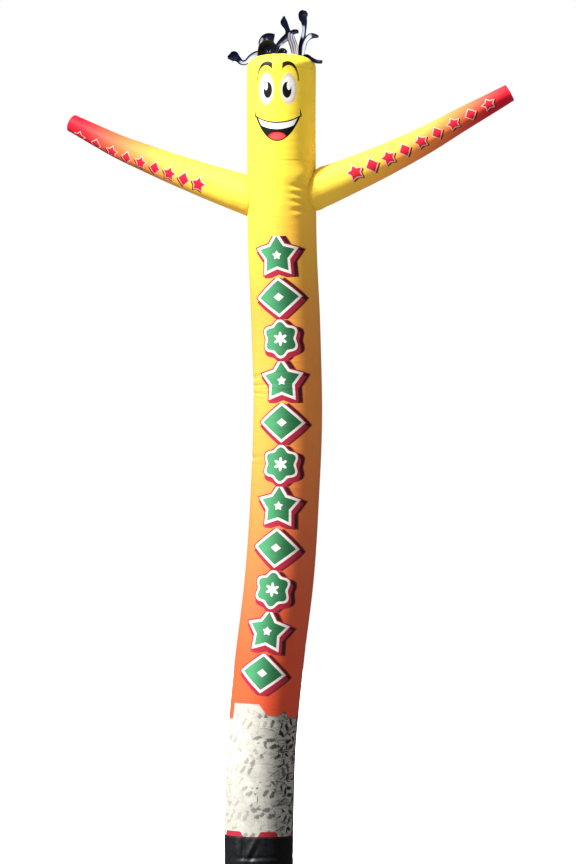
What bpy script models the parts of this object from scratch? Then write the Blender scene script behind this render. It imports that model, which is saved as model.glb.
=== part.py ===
"""Inflatable air dancer: a tall tube of ripstop cloth with two sleeve arms, a domed crown with a tuft of
shiny strips, and a black cuff at its foot. Metres, +Z up, the face looks along -Y, and the origin is the
centre of the cuff's mouth, on the ground."""

import math
from collections import namedtuple

import bmesh
import bpy
from mathutils import Vector
from mathutils.bvhtree import BVHTree

TUBE_RADIUS = 0.231
CUFF_TOP = 0.302
NECK_SEAM = 4.818
CROWN_SEAM = 5.442
CROWN_SKIRT = 0.006
CROWN_RISE = 0.096
CROWN_SQUARENESS = 2.6
CROWN_STEPS = 9

CLOTH = 0.002
SEAM_GAP = 0.0003
CUFF_HEM_THICK = 0.006
CUFF_HEM_TALL = 0.030
SLEEVE_HEM_THICK = 0.004
SLEEVE_HEM_LONG = 0.020
HEM_STEP = 0.002

SHOULDER_X = 0.152
CROWN_FOOT = Vector((SHOULDER_X, 0, CROWN_SEAM + SEAM_GAP))
SLEEVE_ROOT_RADIUS = 0.129
SLEEVE_TIP_RADIUS = 0.060
SLEEVE_HOLE_MARGIN = 0.003
SLEEVE_HOLE_PLACES = (0.04, 0.14, 0.26)
TRIM_BELOW_NECK = 0.60
TRIM_ABOVE_NECK = 0.46

STRIP_THICK = 0.0012
STRIP_CLEAR = 0.0018
SEWN_CLEAR = 0.0005
STRIP_SEGMENTS = 16
SEWN_SHARE = 0.7

TUBE_SIDES = 28
SLEEVE_SIDES = 20
RING_STEP = 0.18
SLEEVE_RING_STEP = 0.10
SLOPE_STEP = 0.01
SMOOTH_BELOW = math.radians(40)

# The tube leans and bends sideways as the air pushes it: the place of its centre line at each height.
Sway = namedtuple("Sway", "height sideways")
SWAY = (
    Sway(0.00, 0.000),
    Sway(0.30, 0.000),
    Sway(0.60, 0.006),
    Sway(0.95, 0.021),
    Sway(1.45, 0.068),
    Sway(2.00, 0.135),
    Sway(2.55, 0.174),
    Sway(3.15, 0.195),
    Sway(3.70, 0.182),
    Sway(4.25, 0.159),
    Sway(4.82, SHOULDER_X),
    Sway(5.55, SHOULDER_X),
)

# Folds in the cloth. A bearing is in degrees round the tube, 0 at the front and 90 at +X. Tall and wide
# are how far the fold reaches up and round, climb is how it rises with each degree, and lift is outwards.
Fold = namedtuple("Fold", "height bearing tall wide climb lift")
BODY_FOLDS = (
    Fold(4.765, 44, 0.030, 24, 0, 0.005),
    Fold(4.700, 46, 0.014, 15, 0, -0.008),
    Fold(4.652, 38, 0.017, 16, 0, 0.006),
    Fold(4.617, 42, 0.014, 16, 0, -0.009),
    Fold(4.583, 34, 0.017, 16, 0, 0.006),
    Fold(4.546, 39, 0.014, 16, 0, -0.009),
    Fold(4.508, 34, 0.018, 16, 0, 0.006),
    Fold(4.468, 40, 0.016, 16, 0, -0.007),
    Fold(4.480, -50, 0.024, 15, 0.0010, -0.008),
    Fold(3.375, -72, 0.016, 30, 0, -0.006),
    Fold(3.318, -66, 0.015, 36, 0, -0.006),
    Fold(3.262, -76, 0.015, 28, 0, -0.005),
    Fold(2.822, -78, 0.018, 28, 0, -0.006),
)
CUFF_FOLDS = (
    Fold(0.175, -29, 0.075, 9, 0, -0.008),
    Fold(0.205, -8, 0.018, 15, 0.0060, 0.006),
    Fold(0.140, 2, 0.018, 38, 0, -0.006),
)
# Where the rings of the tube lie closer together, for the folds.
Close = namedtuple("Close", "start stop step")
BODY_CLOSE = (Close(2.770, 2.875, 0.026), Close(3.210, 3.430, 0.0275), Close(4.420, 4.810, 0.0156))
CUFF_CLOSE = (Close(0.060, 0.280, 0.022),)

# The centre line of each sleeve, from inside the tube to its tip: out from the tube's centre line, back
# along +Y, and the height above the ground.
Station = namedtuple("Station", "out back height")
RIGHT_SLEEVE = (
    Station(0.050, 0.000, 4.556),
    Station(0.300, 0.012, 4.659),
    Station(0.600, 0.040, 4.788),
    Station(0.897, 0.078, 4.932),
    Station(1.194, 0.122, 5.099),
    Station(1.522, 0.178, 5.284),
)
LEFT_SLEEVE = (
    Station(0.050, 0.000, 4.526),
    Station(0.285, 0.040, 4.617),
    Station(0.575, 0.120, 4.720),
    Station(0.866, 0.210, 4.830),
    Station(1.158, 0.310, 4.951),
    Station(1.494, 0.430, 5.118),
)

# The strips of the tuft. Across is from the crown's centre along X, rise is above the crown's top, width is
# the strip's own, and turn is 0 where its width lies along Y and 90 where its face looks forward.
Bend = namedtuple("Bend", "across back rise width turn")
STRIPS = {
    "hair_1": (
        Bend(-0.092, -0.016, -0.010, 0.042, 10),
        Bend(-0.145, -0.030, -0.004, 0.044, 25),
        Bend(-0.192, -0.046, -0.026, 0.044, 35),
        Bend(-0.230, -0.056, -0.060, 0.038, 35),
        Bend(-0.262, -0.058, -0.058, 0.036, 45),
        Bend(-0.288, -0.058, -0.034, 0.044, 60),
        Bend(-0.318, -0.058, -0.018, 0.070, 75),
        Bend(-0.357, -0.058, -0.022, 0.022, 80),
    ),
    "hair_2": (
        Bend(-0.062, 0.048, -0.010, 0.044, 30),
        Bend(-0.116, 0.050, 0.034, 0.046, 45),
        Bend(-0.140, 0.050, 0.078, 0.044, 50),
        Bend(-0.130, 0.048, 0.114, 0.044, 55),
        Bend(-0.098, 0.046, 0.130, 0.046, 60),
        Bend(-0.054, 0.046, 0.118, 0.054, 75),
    ),
    "hair_3": (
        Bend(-0.036, -0.084, -0.011, 0.046, 30),
        Bend(-0.050, -0.086, 0.048, 0.052, 55),
        Bend(-0.082, -0.090, 0.066, 0.056, 65),
        Bend(-0.112, -0.092, 0.046, 0.056, 60),
        Bend(-0.128, -0.092, -0.022, 0.040, 40),
    ),
    "hair_4": (
        Bend(-0.022, 0.000, -0.008, 0.044, 30),
        Bend(-0.026, 0.000, 0.048, 0.040, 45),
        Bend(0.006, 0.000, 0.088, 0.040, 55),
        Bend(0.046, 0.000, 0.128, 0.038, 55),
        Bend(0.042, -0.002, 0.165, 0.036, 60),
        Bend(0.022, -0.004, 0.208, 0.048, 70),
        Bend(0.014, -0.004, 0.256, 0.024, 80),
    ),
    "hair_5": (
        Bend(0.036, -0.105, -0.013, 0.036, 20),
        Bend(0.040, -0.105, 0.014, 0.036, 30),
        Bend(0.014, -0.105, 0.024, 0.036, 30),
        Bend(-0.010, -0.105, -0.012, 0.030, 20),
    ),
    "hair_6": (
        Bend(0.104, -0.088, -0.018, 0.046, 35),
        Bend(0.096, -0.088, 0.050, 0.050, 60),
        Bend(0.078, -0.088, 0.098, 0.050, 65),
        Bend(0.076, -0.086, 0.130, 0.044, 60),
        Bend(0.098, -0.082, 0.146, 0.036, 50),
        Bend(0.126, -0.078, 0.144, 0.024, 40),
    ),
    "hair_7": (
        Bend(0.121, 0.052, -0.017, 0.046, 35),
        Bend(0.128, 0.052, 0.052, 0.048, 55),
        Bend(0.142, 0.050, 0.110, 0.044, 60),
        Bend(0.150, 0.048, 0.165, 0.036, 60),
        Bend(0.150, 0.046, 0.215, 0.044, 70),
        Bend(0.144, 0.046, 0.255, 0.066, 80),
        Bend(0.146, 0.046, 0.298, 0.044, 85),
    ),
    "hair_8": (
        Bend(0.146, 0.000, -0.020, 0.044, 35),
        Bend(0.154, 0.000, 0.050, 0.044, 50),
        Bend(0.172, -0.002, 0.094, 0.044, 55),
        Bend(0.202, -0.004, 0.118, 0.048, 60),
        Bend(0.252, -0.006, 0.116, 0.016, 70),
    ),
    "hair_9": (
        Bend(0.140, -0.048, -0.022, 0.042, 15),
        Bend(0.176, -0.048, -0.018, 0.044, 30),
        Bend(0.206, -0.050, -0.038, 0.042, 35),
        Bend(0.240, -0.054, -0.056, 0.040, 45),
        Bend(0.283, -0.056, -0.060, 0.026, 65),
    ),
}


def clear_scene():
    for obj in list(bpy.data.objects):
        bpy.data.objects.remove(obj)


def make_collection(name):
    collection = bpy.data.collections.new(name)
    bpy.context.scene.collection.children.link(collection)
    return collection


def put_in(obj, collection):
    for owner in list(obj.users_collection):
        owner.objects.unlink(obj)
    collection.objects.link(obj)


def make_material(name, colour, roughness):
    material = bpy.data.materials.new(name)
    material.use_nodes = True
    shader = material.node_tree.nodes["Principled BSDF"]
    shader.inputs["Base Color"].default_value = (*colour, 1.0)
    shader.inputs["Roughness"].default_value = roughness
    shader.inputs["Metallic"].default_value = 0.0
    return material


def smooth_point(points, place):
    """The point at this place, 0 to 1, on a smooth curve through the points, each an equal share of it."""
    spot = place * (len(points) - 1)
    first = min(int(spot), len(points) - 2)
    t = spot - first
    a, b = points[first], points[first + 1]
    before = points[first - 1] if first else a
    after = points[first + 2] if first + 2 < len(points) else b
    run_a, run_b = (b - before) / 2, (after - a) / 2
    if a is before:
        run_a = b - a
    if b is after:
        run_b = b - a
    return (
        a * (2 * t**3 - 3 * t**2 + 1)
        + run_a * (t**3 - 2 * t**2 + t)
        + b * (3 * t**2 - 2 * t**3)
        + run_b * (t**3 - t**2)
    )


def slopes(rows):
    """How fast the tube moves sideways at each row of SWAY."""
    found = []
    for i, row in enumerate(rows):
        below, above = rows[max(i - 1, 0)], rows[min(i + 1, len(rows) - 1)]
        found.append((above.sideways - below.sideways) / (above.height - below.height))
    return found


SLOPES = slopes(SWAY)


def centre_line(height):
    """The sideways place of the tube's centre line at a height, and how fast it moves sideways there."""
    i = max(n for n, row in enumerate(SWAY[:-1]) if row.height <= height)
    low, high = SWAY[i], SWAY[i + 1]
    step = high.height - low.height
    t = (height - low.height) / step
    run_a, run_b = SLOPES[i] * step, SLOPES[i + 1] * step
    place = (
        low.sideways * (2 * t**3 - 3 * t**2 + 1)
        + run_a * (t**3 - 2 * t**2 + t)
        + high.sideways * (3 * t**2 - 2 * t**3)
        + run_b * (t**3 - t**2)
    )
    slope = (
        low.sideways * (6 * t**2 - 6 * t)
        + run_a * (3 * t**2 - 4 * t + 1)
        + high.sideways * (6 * t - 6 * t**2)
        + run_b * (3 * t**2 - 2 * t)
    ) / step
    return place, slope


def fold_lift(folds, height, bearing):
    """How far the folds push the cloth out at this height and bearing."""
    lift = 0.0
    for fold in folds:
        round_by = (bearing - fold.bearing + 180) % 360 - 180
        up_by = height - fold.height - fold.climb * round_by
        lift += fold.lift * math.exp(-((up_by / fold.tall) ** 2) - (round_by / fold.wide) ** 2)
    return lift


def ring_heights(start, stop, close=()):
    """Heights of the rings from start to stop: RING_STEP apart, and nearer where a Close row says so."""
    heights = [start]
    for zone in close:
        count = max(round((zone.start - heights[-1]) / RING_STEP), 1)
        low = heights[-1]
        heights += [low + (zone.start - low) * n / count for n in range(1, count + 1)]
        count = round((zone.stop - zone.start) / zone.step)
        heights += [zone.start + (zone.stop - zone.start) * n / count for n in range(1, count + 1)]
    low = heights[-1]
    count = max(round((stop - low) / RING_STEP), 1)
    return heights + [low + (stop - low) * n / count for n in range(1, count + 1)]


def swept_tube(name, sides, count, place, ends="NOTHING"):
    """A round tube of count rings, from a cylinder whose points place(ring, x, y) moves. Its ends are open,
    or filled for a cutter."""
    bpy.ops.mesh.primitive_cylinder_add(vertices=sides, radius=1, depth=1, end_fill_type=ends)
    obj = bpy.context.object
    obj.name = obj.data.name = name
    mesh = bmesh.new()
    mesh.from_mesh(obj.data)
    upright = [e for e in mesh.edges if abs(e.verts[0].co.z - e.verts[1].co.z) > 0.5]
    bmesh.ops.subdivide_edges(mesh, edges=upright, cuts=count - 2, use_grid_fill=True)
    for vert in mesh.verts:
        ring = round((vert.co.z + 0.5) * (count - 1))
        vert.co = place(ring, vert.co.x, vert.co.y)
    walls = [f for f in mesh.faces if len(f.verts) == 4]
    bmesh.ops.triangulate(mesh, faces=walls, quad_method="FIXED")
    mesh.to_mesh(obj.data)
    mesh.free()
    return obj


def tube_placer(heights, folds, offset=0.0):
    """Places a ring's points round the tube's centre line, square to it, with the folds."""

    def place(ring, x, y):
        height = heights[ring]
        sideways, slope = centre_line(height)
        across = Vector((1, 0, -slope)).normalized()
        radius = TUBE_RADIUS + offset + fold_lift(folds, height, math.degrees(math.atan2(x, -y)))
        return Vector((sideways, 0, height)) + radius * (x * across + y * Vector((0, 1, 0)))

    return place


def direction(points, place):
    """The way the smooth curve through the points runs at this place, 0 to 1."""
    ahead = smooth_point(points, min(place + SLOPE_STEP, 1))
    return (ahead - smooth_point(points, max(place - SLOPE_STEP, 0))).normalized()


def sleeve_points(stations, side):
    return [Vector((SHOULDER_X + side * s.out, s.back, s.height)) for s in stations]


def sleeve_placer(stations, side, places, offset=0.0):
    """Places a ring's points round a sleeve's centre line, square to it, at each place from 0 to 1."""
    points = sleeve_points(stations, side)
    first, last = stations[1].out, stations[-1].out

    def place(ring, x, y):
        here = places[ring]
        centre = smooth_point(points, here)
        along = direction(points, here)
        up = (Vector((0, 0, 1)) - along * along.z).normalized()
        back = up.cross(along)
        share = (side * (centre.x - SHOULDER_X) - first) / (last - first)
        radius = SLEEVE_ROOT_RADIUS + (SLEEVE_TIP_RADIUS - SLEEVE_ROOT_RADIUS) * max(share, 0) + offset
        return centre + radius * (x * back + y * up)

    return place


def thicken(obj, hem_rings=(), hem_thick=CLOTH):
    """Gives the cloth its thickness inwards, and the rings of its hem more."""
    group = obj.vertex_groups.new(name="hem")
    group.add([v.index for v in obj.data.vertices], CLOTH / hem_thick, "REPLACE")
    if hem_rings:
        group.add(list(hem_rings), 1.0, "REPLACE")
    solidify = obj.modifiers.new("cloth", "SOLIDIFY")
    solidify.thickness = hem_thick
    solidify.offset = -1
    solidify.use_even_offset = True
    solidify.vertex_group = "hem"


def cut(obj, cutter):
    boolean = obj.modifiers.new(cutter.name, "BOOLEAN")
    boolean.operation = "DIFFERENCE"
    boolean.solver = "EXACT"
    boolean.object = cutter


def as_cutter(obj, collection):
    obj.hide_render = True
    obj.display_type = "WIRE"
    put_in(obj, collection)
    return obj


def finish(obj, collection, material):
    obj.data.materials.append(material)
    obj.data.shade_smooth()
    obj.data.set_sharp_from_angle(angle=SMOOTH_BELOW)
    put_in(obj, collection)


def make_body(parts, material):
    heights = ring_heights(CUFF_TOP, NECK_SEAM, BODY_CLOSE)
    body = swept_tube("body_tube", TUBE_SIDES, len(heights), tube_placer(heights, BODY_FOLDS))
    thicken(body)
    finish(body, parts, material)
    return body


def make_head(parts, material):
    heights = ring_heights(NECK_SEAM + SEAM_GAP, CROWN_SEAM)
    head = swept_tube("head_tube", TUBE_SIDES, len(heights), tube_placer(heights, BODY_FOLDS))
    thicken(head)
    finish(head, parts, material)


def crown_point(angle):
    """Radius and rise of the crown's outside at an angle, 0 at its skirt and 90 degrees at its top."""
    power = 2 / CROWN_SQUARENESS
    radius = TUBE_RADIUS * max(math.cos(angle), 0) ** power
    return radius, CROWN_SKIRT + CROWN_RISE * max(math.sin(angle), 0) ** power


def make_crown(parts, material):
    """A round panel that the air domes: half its outline, turned about the centre line."""
    mesh = bpy.data.meshes.new("crown")
    outline = [crown_point(math.pi / 2 * (1 - n / CROWN_STEPS)) for n in range(CROWN_STEPS + 1)]
    outline[0] = (0.0, CROWN_SKIRT + CROWN_RISE)
    outline.append((TUBE_RADIUS, 0.0))
    mesh.from_pydata([(r, 0, z) for r, z in outline], [(n, n + 1) for n in range(len(outline) - 1)], [])
    crown = bpy.data.objects.new("crown", mesh)
    bpy.context.scene.collection.objects.link(crown)
    crown.location = CROWN_FOOT
    screw = crown.modifiers.new("turn", "SCREW")
    screw.axis = "Z"
    screw.steps = screw.render_steps = TUBE_SIDES
    screw.use_merge_vertices = True
    screw.merge_threshold = 0.0001
    solidify = crown.modifiers.new("cloth", "SOLIDIFY")
    solidify.thickness = CLOTH
    solidify.offset = -1
    mesh.materials.append(material)
    put_in(crown, parts)
    return crown


def make_cuff(parts, material):
    top = CUFF_TOP - SEAM_GAP
    hem = [0.0, CUFF_HEM_TALL, CUFF_HEM_TALL + HEM_STEP]
    heights = hem[:2] + ring_heights(hem[2], top, CUFF_CLOSE)
    cuff = swept_tube("cuff", TUBE_SIDES, len(heights), tube_placer(heights, CUFF_FOLDS))
    low = [v.index for v in cuff.data.vertices if v.co.z <= CUFF_HEM_TALL + HEM_STEP / 2]
    thicken(cuff, low, CUFF_HEM_THICK)
    finish(cuff, parts, material)


def make_sleeve(name, stations, side, body, cutters, parts, material):
    """A tapered sleeve with a hemmed open end, sewn round a hole in the tube."""
    points = sleeve_points(stations, side)
    length = sum((b - a).length for a, b in zip(points, points[1:]))
    hem_share = SLEEVE_HEM_LONG / length
    step_share = HEM_STEP / length
    count = round(length / SLEEVE_RING_STEP)
    places = [n / count for n in range(count)]
    places += [1 - hem_share - step_share, 1 - hem_share, 1.0]
    sleeve = swept_tube(name, SLEEVE_SIDES, len(places), sleeve_placer(stations, side, places))
    tip = points[-1]
    along = (tip - points[-2]).normalized()
    hem_end = SLEEVE_HEM_LONG + HEM_STEP / 2
    hem = [v.index for v in sleeve.data.vertices if (tip - v.co).dot(along) < hem_end]
    thicken(sleeve, hem, SLEEVE_HEM_THICK)
    rings = ring_heights(CUFF_TOP, NECK_SEAM, BODY_CLOSE)
    heights = [h for h in rings if h > NECK_SEAM - TRIM_BELOW_NECK] + [NECK_SEAM + TRIM_ABOVE_NECK]
    placer = tube_placer(heights, BODY_FOLDS, SEAM_GAP)
    core = swept_tube(name + "_trim", TUBE_SIDES, len(heights), placer, "NGON")
    cut(sleeve, as_cutter(core, cutters))
    placer = sleeve_placer(stations, side, SLEEVE_HOLE_PLACES, -CLOTH - SLEEVE_HOLE_MARGIN)
    bore = swept_tube(name + "_hole", SLEEVE_SIDES, len(SLEEVE_HOLE_PLACES), placer, "NGON")
    cut(body, as_cutter(bore, cutters))
    finish(sleeve, parts, material)


def clear_of_crown(point):
    """The point, moved straight out from the crown's skirt to just above the crown if it lies lower."""
    centre = CROWN_FOOT + Vector((0, 0, CROWN_SKIRT))
    x, y, z = point - centre
    radius, rise = TUBE_RADIUS + STRIP_CLEAR, CROWN_RISE + STRIP_CLEAR
    n = CROWN_SQUARENESS
    size = ((math.hypot(x, y) / radius) ** n + (max(z, 0) / rise) ** n) ** (1 / n)
    return centre + (point - centre) / size if size < 1 else point


def sewn(point, face, crown):
    """The point of a strip's sewn end, set on the crown if it lies lower. Face is the strip's own normal
    there: an end that lies flat needs half its thickness more room than one that stands up."""
    x, y, z = point - CROWN_FOOT
    hit, normal, _, _ = crown.ray_cast(Vector((x, y, 1)), Vector((0, 0, -1)))
    clear = SEWN_CLEAR + STRIP_THICK / 2 * abs(face.dot(normal))
    high_enough = (Vector((x, y, z)) - hit).dot(normal) >= clear
    return point if high_enough else CROWN_FOOT + hit + normal * clear


def make_strip(name, bends, crown, parts, material):
    """One shiny strip of the tuft: a flat ribbon that bends, narrows and turns along its length."""
    base = CROWN_FOOT + Vector((0, 0, CROWN_SKIRT + CROWN_RISE))
    points = [base + Vector((b.across, b.back, b.rise)) for b in bends]
    form = [Vector((b.width, b.turn, 0)) for b in bends]
    bpy.ops.mesh.primitive_grid_add(x_subdivisions=STRIP_SEGMENTS, y_subdivisions=2, size=1)
    strip = bpy.context.object
    strip.name = strip.data.name = name
    for vert in strip.data.vertices:
        place = vert.co.x + 0.5
        along = direction(points, place)
        width, turn, _ = smooth_point(form, place)
        flat = (Vector((0, 1, 0)) - along * along.y).normalized()
        edge = flat * math.cos(math.radians(turn)) + along.cross(flat) * math.sin(math.radians(turn))
        spot = smooth_point(points, place) + vert.co.y * width * edge
        at_end = not SLOPE_STEP < place < 1 - SLOPE_STEP
        over_crown = (spot - base).xy.length < SEWN_SHARE * TUBE_RADIUS
        vert.co = sewn(spot, along.cross(edge), crown) if at_end and over_crown else clear_of_crown(spot)
    solidify = strip.modifiers.new("cloth", "SOLIDIFY")
    solidify.thickness = STRIP_THICK
    solidify.offset = 0
    finish(strip, parts, material)


def main():
    clear_scene()
    parts = make_collection("inflatable_air_dancer")
    cutters = make_collection("cutters")
    printed = make_material("printed ripstop", (0.95, 0.62, 0.06), 0.45)
    black = make_material("black coated cloth", (0.015, 0.016, 0.018), 0.35)
    shiny = make_material("navy metallised strip", (0.012, 0.016, 0.05), 0.25)
    sleeve_cloth = make_material("sleeve ripstop", (0.95, 0.30, 0.08), 0.45)
    body = make_body(parts, printed)
    make_head(parts, printed)
    crown = make_crown(parts, printed)
    make_cuff(parts, black)
    make_sleeve("arm_right", RIGHT_SLEEVE, 1, body, cutters, parts, sleeve_cloth)
    make_sleeve("arm_left", LEFT_SLEEVE, -1, body, cutters, parts, sleeve_cloth)
    bpy.context.view_layer.update()
    crown = BVHTree.FromObject(crown, bpy.context.evaluated_depsgraph_get())
    for name, bends in STRIPS.items():
        make_strip(name, bends, crown, parts, shiny)


main()
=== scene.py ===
"""The looks of the inflatable air dancer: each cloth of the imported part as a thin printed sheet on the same
form, the shiny strips of its tuft, a pale floor, soft studio light and the camera. Metres, +Z up, and the
face looks along -Y."""

import math
from collections import namedtuple

import bpy
import numpy as np
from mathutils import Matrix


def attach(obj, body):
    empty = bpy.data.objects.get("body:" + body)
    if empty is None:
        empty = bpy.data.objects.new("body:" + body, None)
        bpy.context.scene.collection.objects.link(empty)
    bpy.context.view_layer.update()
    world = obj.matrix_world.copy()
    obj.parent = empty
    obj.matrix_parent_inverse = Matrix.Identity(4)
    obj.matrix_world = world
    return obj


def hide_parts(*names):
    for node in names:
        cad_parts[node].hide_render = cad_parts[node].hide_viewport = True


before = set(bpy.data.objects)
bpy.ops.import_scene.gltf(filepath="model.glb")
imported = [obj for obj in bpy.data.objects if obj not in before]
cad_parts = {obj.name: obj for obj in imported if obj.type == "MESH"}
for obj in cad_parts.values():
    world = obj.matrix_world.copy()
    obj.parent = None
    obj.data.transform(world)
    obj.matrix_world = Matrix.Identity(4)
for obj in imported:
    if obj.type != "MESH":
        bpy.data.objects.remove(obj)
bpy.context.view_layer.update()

# The long tube is one length of printed ripstop polyester, sewn into a round up its back and held up by the
# fan's air. It sways to one side on its way up, and its cloth creases inside each bend and under the right
# sleeve, where the sleeve's weight pulls on it.
TUBE_RADIUS = 0.231
GIRTH = 2 * math.pi * TUBE_RADIUS
TUBE_COLUMNS = 120
FOOT_SEAM = 0.302
NECK_SEAM = 4.818
CLOTH = 0.0008
SMOOTH_ANGLE = 50

Sway = namedtuple("Sway", "height sideways")
SWAY = (
    Sway(0.00, 0.000),
    Sway(0.30, 0.000),
    Sway(0.60, 0.006),
    Sway(0.95, 0.021),
    Sway(1.45, 0.068),
    Sway(2.00, 0.135),
    Sway(2.55, 0.174),
    Sway(3.15, 0.195),
    Sway(3.70, 0.182),
    Sway(4.25, 0.159),
    Sway(4.82, 0.152),
    Sway(5.55, 0.152),
)
SWAY_HEIGHTS = np.array([row.height for row in SWAY])
SWAY_PLACES = np.array([row.sideways for row in SWAY])
ABOVE = np.minimum(np.arange(len(SWAY)) + 1, len(SWAY) - 1)
BELOW = np.maximum(np.arange(len(SWAY)) - 1, 0)
SWAY_SLOPES = (SWAY_PLACES[ABOVE] - SWAY_PLACES[BELOW]) / (SWAY_HEIGHTS[ABOVE] - SWAY_HEIGHTS[BELOW])


def smooth_run(t, a, run_a, b, run_b):
    """The point and the slope at t, 0 to 1, on a smooth curve from a, along run_a, to b, along run_b."""
    point = a * (2 * t**3 - 3 * t**2 + 1) + run_a * (t**3 - 2 * t**2 + t)
    point = point + b * (3 * t**2 - 2 * t**3) + run_b * (t**3 - t**2)
    slope = (a - b) * (6 * t**2 - 6 * t) + run_a * (3 * t**2 - 4 * t + 1) + run_b * (3 * t**2 - 2 * t)
    return point, slope


def centre_line(height):
    """The sideways place of the tube's centre line at these heights, and how fast it moves sideways there."""
    low = np.clip(np.searchsorted(SWAY_HEIGHTS, height, side="right") - 1, 0, len(SWAY) - 2)
    step = SWAY_HEIGHTS[low + 1] - SWAY_HEIGHTS[low]
    t = (height - SWAY_HEIGHTS[low]) / step
    place, slope = smooth_run(
        t, SWAY_PLACES[low], SWAY_SLOPES[low] * step, SWAY_PLACES[low + 1], SWAY_SLOPES[low + 1] * step
    )
    return place, slope / step


def tube_points(height, turn, lift):
    """Points of the tube at these heights and turns, lifted off its round. A turn is 0 at the front, and a
    quarter at +X."""
    place, slope = centre_line(height)
    radius = TUBE_RADIUS + lift
    tilt = 1 / np.sqrt(1 + slope**2)
    out = radius * np.sin(2 * np.pi * turn) * tilt
    front = radius * np.cos(2 * np.pi * turn)
    return np.stack([place + out, -front, height - slope * out], axis=1)


# Each crease is a soft trough or ridge. A bearing is in degrees round the tube, 0 at the front and 90 at +X.
# Tall and wide are how far it reaches up and round, climb is how it rises with each degree.
Crease = namedtuple("Crease", "height bearing tall wide climb lift")
TUBE_CREASES = (
    Crease(4.724, 46, 0.054, 24, 0.0000, 0.0115),
    Crease(4.692, 52, 0.012, 12, -0.0004, -0.0030),
    Crease(4.644, 40, 0.014, 17, -0.0005, -0.0090),
    Crease(4.618, 34, 0.013, 14, -0.0006, 0.0045),
    Crease(4.590, 40, 0.011, 15, -0.0005, -0.0070),
    Crease(4.566, 33, 0.012, 13, -0.0006, 0.0040),
    Crease(4.542, 40, 0.011, 15, -0.0004, -0.0070),
    Crease(4.516, 33, 0.013, 13, -0.0006, 0.0040),
    Crease(4.490, 40, 0.012, 15, 0.0003, -0.0060),
    Crease(4.455, 36, 0.012, 13, 0.0000, 0.0030),
    Crease(4.480, -50, 0.024, 15, 0.0010, -0.0080),
    Crease(3.388, -62, 0.007, 40, 0.0002, -0.0024),
    Crease(3.372, -72, 0.013, 26, 0.0002, -0.0050),
    Crease(3.348, -40, 0.005, 30, 0.0001, -0.0016),
    Crease(3.322, -58, 0.010, 40, 0.0001, -0.0050),
    Crease(3.296, -34, 0.005, 30, -0.0001, -0.0016),
    Crease(3.270, -70, 0.011, 34, -0.0002, -0.0045),
    Crease(3.238, -62, 0.006, 32, -0.0003, -0.0020),
    Crease(3.404, -14, 0.004, 24, 0.0001, -0.0010),
    Crease(3.336, -6, 0.004, 26, -0.0001, -0.0012),
    Crease(3.312, 4, 0.004, 20, 0.0002, -0.0010),
    Crease(3.281, -4, 0.004, 24, 0.0001, -0.0012),
    Crease(3.252, 2, 0.004, 22, 0.0000, -0.0010),
    Crease(2.905, -74, 0.007, 24, 0.0002, -0.0020),
    Crease(2.822, -78, 0.016, 28, 0.0003, -0.0060),
    Crease(2.780, -66, 0.006, 22, 0.0001, -0.0018),
    Crease(2.240, 74, 0.010, 24, 0.0003, -0.0030),
    Crease(1.610, 80, 0.012, 26, -0.0002, -0.0035),
)


def crease_lift(creases, height, turn):
    """How far the creases push the cloth out at these heights and turns."""
    lift = np.zeros_like(height)
    for crease in creases:
        round_by = (360 * turn - crease.bearing + 180) % 360 - 180
        up_by = height - crease.height - crease.climb * round_by
        lift += crease.lift * np.exp(-((up_by / crease.tall) ** 2) - (round_by / crease.wide) ** 2)
    return lift


def seam_pucker(away, along, pull=0.0012, stitch=0.021):
    """A seam draws its cloth in and puckers it. Away and along are metres from the seam and on it."""
    wander = np.sin(2 * np.pi * along / stitch + 1.7 * np.sin(9.1 * along))
    return -pull * np.exp(-((away / 0.007) ** 2)) + 0.35 * pull * wander * np.exp(-np.abs(away) / 0.016)


def unevenness(height, turn):
    """Inflated cloth is never a true round: long soft swells of less than a millimetre."""
    angle = 2 * np.pi * turn
    swell = np.sin(3 * angle + 2.3 * height) * np.sin(5.1 * height + 0.7)
    return 0.0007 * swell + 0.0005 * np.sin(2 * angle - 7.7 * height + 1.9)


# Stretches where the rows of the cloth lie closer together than ROW_STEP, for what is small there.
ROW_STEP = 0.020
Stretch = namedtuple("Stretch", "start stop step")


def row_heights(start, stop, stretches):
    """The height of each row of a cloth from start to stop."""
    heights = [start]
    for stretch in stretches + (Stretch(stop, stop, 1),):
        for goal, step in ((stretch.start, ROW_STEP), (stretch.stop, stretch.step)):
            low = heights[-1]
            count = max(round((goal - low) / step), 1) if goal > low else 0
            heights += [low + (goal - low) * n / count for n in range(1, count + 1)]
    return np.array(heights)


def cut_cloth(name, columns, heights):
    """A flat cloth: a grid with a row at each height. Gives the cloth, and its points' turns and heights."""
    bpy.ops.object.select_all(action="DESELECT")
    bpy.ops.mesh.primitive_grid_add(x_subdivisions=columns, y_subdivisions=len(heights) - 1, size=1)
    cloth = bpy.context.object
    cloth.name = cloth.data.name = name
    flat = np.empty(len(cloth.data.vertices) * 3)
    cloth.data.vertices.foreach_get("co", flat)
    flat = flat.reshape(-1, 3)
    rows = np.rint((flat[:, 1] + 0.5) * (len(heights) - 1)).astype(int)
    return cloth, flat[:, 0].copy(), heights[rows]


def lay_pattern(cloth, across, up):
    """Gives the cloth a UV map in metres, from each point's place across and up the printed cloth."""
    corners = np.empty(len(cloth.data.loops), dtype=np.int32)
    cloth.data.loops.foreach_get("vertex_index", corners)
    pattern = cloth.data.uv_layers[0]
    pattern.name = "print"
    pattern.data.foreach_set("uv", np.stack([across[corners], up[corners]], axis=1).ravel())


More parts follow.
